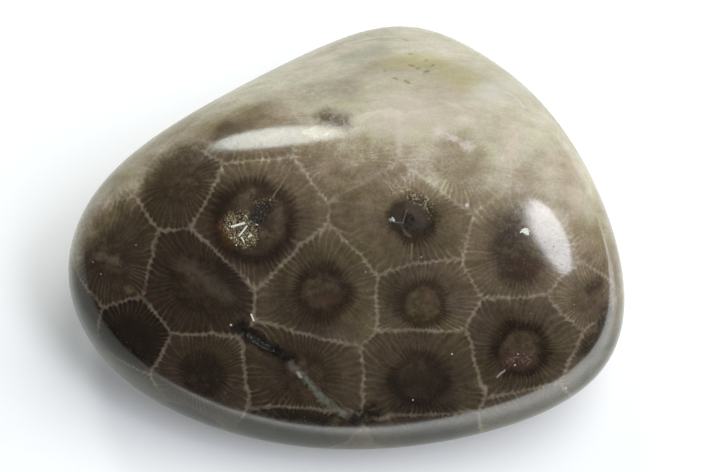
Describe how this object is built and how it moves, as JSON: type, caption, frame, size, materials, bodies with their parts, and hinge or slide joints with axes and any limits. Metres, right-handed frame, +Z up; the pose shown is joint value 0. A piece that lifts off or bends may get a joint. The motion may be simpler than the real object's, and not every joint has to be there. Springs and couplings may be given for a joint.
{
  "type": "polished fossil coral stone",
  "caption": "Tumbled, polished pebble of fossil colonial coral, rounded and three-cornered, with many-sided corallites cut through by its glossy surface.",
  "frame": {"origin": "on the surface that the stone rests on, under the middle of its box", "axes": "+X along the stone's longest side, +Y from its broad front towards its narrow back end, +Z up"},
  "size_m": [0.0588, 0.0492, 0.0247],
  "materials": {
    "coral_stone": "glassy polish on grey-brown fossil limestone, near-black in the corallites and pale tan in their walls and along the back"
  },
  "bodies": {
    "root": {"coral_stone": "coral_stone"}
  },
  "joints": []
}
